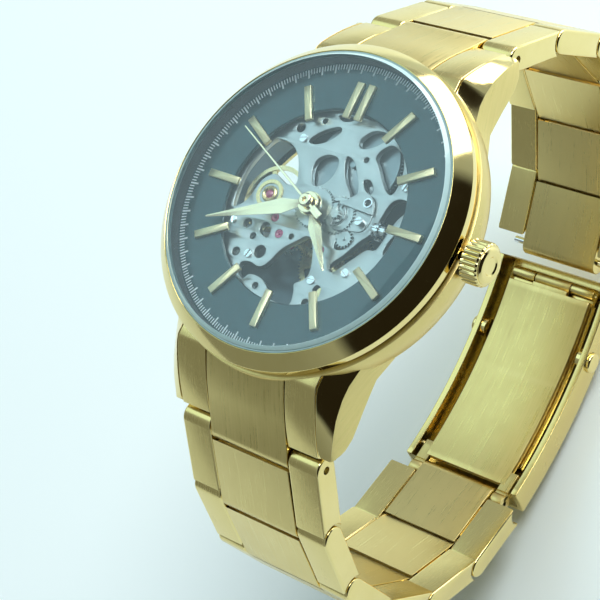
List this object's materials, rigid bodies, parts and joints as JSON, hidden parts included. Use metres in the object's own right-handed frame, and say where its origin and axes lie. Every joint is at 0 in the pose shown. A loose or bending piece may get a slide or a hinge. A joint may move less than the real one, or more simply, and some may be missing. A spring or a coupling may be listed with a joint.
{
  "type": "skeleton wristwatch",
  "caption": "Round automatic wristwatch with an open skeleton dial, gold-tone steel case, fluted crown and an H-link bracelet that opens at a folding clasp.",
  "frame": {"origin": "middle of the case back's flat outer face, on the window's glass", "axes": "+Z out through the crystal, +Y towards 12 o'clock and the upper bracelet, +X towards the crown at 3 o'clock"},
  "size_m": [0.0463, 0.0824, 0.0699],
  "materials": {
    "gold_brushed": "brushed, gold-tone plating",
    "gold_polished": "mirror polished, gold-tone plating",
    "hand_gold": "polished facets",
    "crystal": "clear mineral glass",
    "gasket": "satin black",
    "dark_ring": "satin",
    "dial_black": "sunray black lacquer",
    "plate_silver": "rhodium plated, fine grain",
    "movement_steel": "polished steel",
    "train_brass": "gilt",
    "ruby": "synthetic ruby",
    "blued_spring": "blued"
  },
  "bodies": {
    "watch_head": {"mid_case": "gold_brushed", "bezel": "gold_polished", "crystal": "crystal", "crystal_gasket": "gasket", "flange_ring": "dark_ring", "dial": "dial_black", "hour_markers": "gold_polished", "case_back": "gold_brushed", "case_back_glass": "crystal", "case_back_gasket": "gasket", "crown_tube": "gold_polished", "movement_ring": "plate_silver", "main_plate": "plate_silver", "train_bridge": "plate_silver", "balance_cock": "plate_silver", "keyless_plate": "plate_silver", "jewels": "ruby", "movement_screws": "movement_steel", "rotor_bearing": "movement_steel", "end_link_12h": "gold_brushed", "end_link_6h": "gold_brushed", "spring_bars": "movement_steel"},
    "link_12h_1": {"link_12h_1": "gold_brushed"},
    "link_12h_2": {"link_12h_2": "gold_brushed"},
    "link_12h_3": {"link_12h_3": "gold_brushed"},
    "link_12h_4": {"link_12h_4": "gold_brushed"},
    "link_12h_5": {"link_12h_5": "gold_brushed"},
    "link_12h_6": {"link_12h_6": "gold_brushed"},
    "link_6h_1": {"link_6h_1": "gold_brushed"},
    "link_6h_2": {"link_6h_2": "gold_brushed"},
    "link_6h_3": {"link_6h_3": "gold_brushed"},
    "link_6h_4": {"link_6h_4": "gold_brushed"},
    "link_6h_5": {"link_6h_5": "gold_brushed"},
    "link_6h_6": {"link_6h_6": "gold_brushed"},
    "clasp_inner_blade": {"clasp_inner_blade": "gold_brushed"},
    "clasp_outer_blade": {"clasp_outer_blade": "gold_brushed"},
    "clasp_cover": {"clasp_cover": "gold_brushed"},
    "clasp_button_right": {"clasp_button_right": "gold_polished"},
    "clasp_button_left": {"clasp_button_left": "gold_polished"},
    "winding_pinion": {"winding_pinion": "movement_steel"},
    "crown_and_stem": {"crown": "gold_polished", "stem": "movement_steel"},
    "rotor": {"rotor": "plate_silver"},
    "seconds_drive": {"fourth_wheel": "train_brass", "second_hand": "hand_gold"},
    "third_wheel": {"third_wheel": "train_brass"},
    "minute_drive": {"centre_wheel": "train_brass", "cannon_pinion": "movement_steel", "minute_hand": "hand_gold"},
    "barrel": {"barrel": "train_brass", "mainspring": "blued_spring"},
    "minute_wheel": {"minute_wheel": "movement_steel"},
    "hour_drive": {"hour_wheel": "movement_steel", "hour_hand": "hand_gold"},
    "setting_wheel": {"setting_wheel": "movement_steel"},
    "escape_wheel": {"escape_wheel": "movement_steel"},
    "pallet_fork": {"pallet_fork": "movement_steel"},
    "balance": {"balance_wheel": "train_brass", "hairspring": "blued_spring"}
  },
  "joints": [
    {"name": "clasp_fold", "type": "hinge", "parent": "clasp_inner_blade", "child": "clasp_outer_blade", "pos_m": [0, 0.01459, -0.05374], "axis": [1, 0, 0], "range_deg": [0, 120]},
    {"name": "link_12h_1_hinge", "type": "hinge", "parent": "watch_head", "child": "link_12h_1", "pos_m": [0, 0.0277, -0.0018], "axis": [1, 0, 0], "range_deg": [0, 12]},
    {"name": "link_12h_2_hinge", "type": "hinge", "parent": "link_12h_1", "child": "link_12h_2", "pos_m": [0, 0.03451, -0.00992], "axis": [1, 0, 0], "range_deg": [0, 12]},
    {"name": "link_12h_3_hinge", "type": "hinge", "parent": "link_12h_2", "child": "link_12h_3", "pos_m": [0, 0.03899, -0.01953], "axis": [1, 0, 0], "range_deg": [0, 12]},
    {"name": "link_12h_4_hinge", "type": "hinge", "parent": "link_12h_3", "child": "link_12h_4", "pos_m": [0, 0.03955, -0.03011], "axis": [1, 0, 0], "range_deg": [0, 12]},
    {"name": "link_12h_5_hinge", "type": "hinge", "parent": "link_12h_4", "child": "link_12h_5", "pos_m": [0, 0.03592, -0.04007], "axis": [1, 0, 0], "range_deg": [0, 12]},
    {"name": "link_12h_6_hinge", "type": "hinge", "parent": "link_12h_5", "child": "link_12h_6", "pos_m": [0, 0.02869, -0.04783], "axis": [1, 0, 0], "range_deg": [0, 12]},
    {"name": "link_6h_1_hinge", "type": "hinge", "parent": "watch_head", "child": "link_6h_1", "pos_m": [0, -0.0277, -0.0018], "axis": [-1, 0, 0], "range_deg": [0, 3.6]},
    {"name": "link_6h_2_hinge", "type": "hinge", "parent": "link_6h_1", "child": "link_6h_2", "pos_m": [0, -0.03451, -0.00992], "axis": [-1, 0, 0], "range_deg": [0, 3.6]},
    {"name": "link_6h_3_hinge", "type": "hinge", "parent": "link_6h_2", "child": "link_6h_3", "pos_m": [0, -0.03899, -0.01953], "axis": [-1, 0, 0], "range_deg": [0, 3.6]},
    {"name": "link_6h_4_hinge", "type": "hinge", "parent": "link_6h_3", "child": "link_6h_4", "pos_m": [0, -0.03955, -0.03011], "axis": [-1, 0, 0], "range_deg": [0, 3.6]},
    {"name": "link_6h_5_hinge", "type": "hinge", "parent": "link_6h_4", "child": "link_6h_5", "pos_m": [0, -0.03592, -0.04007], "axis": [-1, 0, 0], "range_deg": [0, 3.6]},
    {"name": "link_6h_6_hinge", "type": "hinge", "parent": "link_6h_5", "child": "link_6h_6", "pos_m": [0, -0.02869, -0.04783], "axis": [-1, 0, 0], "range_deg": [0, 3.6]},
    {"name": "inner_blade_hinge", "type": "hinge", "parent": "link_6h_6", "child": "clasp_inner_blade", "pos_m": [0, -0.01901, -0.05214], "axis": [1, 0, 0], "range_deg": [0, 42]},
    {"name": "cover_hinge", "type": "hinge", "parent": "clasp_outer_blade", "child": "clasp_cover", "pos_m": [0, -0.01481, -0.05461], "axis": [1, 0, 0], "range_deg": [-120, 0]},
    {"name": "button_right_push", "type": "slide", "parent": "clasp_cover", "child": "clasp_button_right", "axis": [-1, 0, 0], "range_m": [0, 0.0005], "stiffness_N_per_m": 800},
    {"name": "button_left_push", "type": "slide", "parent": "clasp_cover", "child": "clasp_button_left", "axis": [1, 0, 0], "range_m": [0, 0.0005], "stiffness_N_per_m": 800},
    {"name": "crown_turn", "type": "hinge", "parent": "watch_head", "child": "winding_pinion", "pos_m": [0.023, 0, 0.0065], "axis": [1, 0, 0], "continuous": true},
    {"name": "crown_pull", "type": "slide", "parent": "winding_pinion", "child": "crown_and_stem", "axis": [1, 0, 0], "range_m": [0, 0.001]},
    {"name": "rotor_spin", "type": "hinge", "parent": "watch_head", "child": "rotor", "pos_m": [0, 0, 0.002], "axis": [0, 0, 1], "continuous": true},
    {"name": "seconds_run", "type": "hinge", "parent": "watch_head", "child": "seconds_drive", "pos_m": [0, 0, 0.005], "axis": [0, 0, -1], "continuous": true},
    {"name": "third_run", "type": "hinge", "parent": "watch_head", "child": "third_wheel", "pos_m": [0.00294, -0.00453, 0.005], "axis": [0, 0, -1], "continuous": true},
    {"name": "minutes_run", "type": "hinge", "parent": "watch_head", "child": "minute_drive", "pos_m": [0, 0, 0.005], "axis": [0, 0, -1], "continuous": true},
    {"name": "barrel_run", "type": "hinge", "parent": "watch_head", "child": "barrel", "pos_m": [0.00174, 0.00649, 0.005], "axis": [0, 0, -1], "continuous": true},
    {"name": "minute_wheel_run", "type": "hinge", "parent": "watch_head", "child": "minute_wheel", "pos_m": [0.00312, 0, 0.005], "axis": [0, 0, -1], "continuous": true},
    {"name": "hours_run", "type": "hinge", "parent": "watch_head", "child": "hour_drive", "pos_m": [0, 0, 0.005], "axis": [0, 0, -1], "continuous": true},
    {"name": "setting_wheel_run", "type": "hinge", "parent": "watch_head", "child": "setting_wheel", "pos_m": [0.00547, -0.00243, 0.005], "axis": [0, 0, -1], "continuous": true},
    {"name": "escape_run", "type": "hinge", "parent": "watch_head", "child": "escape_wheel", "pos_m": [-0.00344, -0.00424, 0.005], "axis": [0, 0, -1], "continuous": true},
    {"name": "balance_swing", "type": "hinge", "parent": "watch_head", "child": "balance", "pos_m": [-0.0072, 0, 0.005], "axis": [0, 0, 1], "range_deg": [-130, 130], "stiffness_Nm_per_rad": 0.0000003},
    {"name": "pallet_rock", "type": "hinge", "parent": "watch_head", "child": "pallet_fork", "pos_m": [-0.00496, -0.00252, 0.005], "axis": [0, 0, 1], "range_deg": [-5.2, 5.2]}
  ],
  "couplings": [
    {"joint": "link_12h_1_hinge", "follows": "clasp_fold", "ratio": 0.1},
    {"joint": "link_12h_2_hinge", "follows": "clasp_fold", "ratio": 0.1},
    {"joint": "link_12h_3_hinge", "follows": "clasp_fold", "ratio": 0.1},
    {"joint": "link_12h_4_hinge", "follows": "clasp_fold", "ratio": 0.1},
    {"joint": "link_12h_5_hinge", "follows": "clasp_fold", "ratio": 0.1},
    {"joint": "link_12h_6_hinge", "follows": "clasp_fold", "ratio": 0.1},
    {"joint": "link_6h_1_hinge", "follows": "clasp_fold", "ratio": 0.03},
    {"joint": "link_6h_2_hinge", "follows": "clasp_fold", "ratio": 0.03},
    {"joint": "link_6h_3_hinge", "follows": "clasp_fold", "ratio": 0.03},
    {"joint": "link_6h_4_hinge", "follows": "clasp_fold", "ratio": 0.03},
    {"joint": "link_6h_5_hinge", "follows": "clasp_fold", "ratio": 0.03},
    {"joint": "link_6h_6_hinge", "follows": "clasp_fold", "ratio": 0.03},
    {"joint": "inner_blade_hinge", "follows": "clasp_fold", "ratio": 0.35},
    {"joint": "cover_hinge", "follows": "clasp_fold", "ratio": -1},
    {"joint": "third_run", "follows": "seconds_run", "ratio": -0.13333},
    {"joint": "minutes_run", "follows": "seconds_run", "ratio": 0.016667},
    {"joint": "barrel_run", "follows": "seconds_run", "ratio": -0.002381},
    {"joint": "minute_wheel_run", "follows": "seconds_run", "ratio": -0.0055556},
    {"joint": "hours_run", "follows": "seconds_run", "ratio": 0.0013889},
    {"joint": "setting_wheel_run", "follows": "seconds_run", "ratio": 0.0125},
    {"joint": "escape_run", "follows": "seconds_run", "ratio": -12},
    {"joint": "pallet_rock", "follows": "balance_swing", "ratio": -0.04}
  ]
}
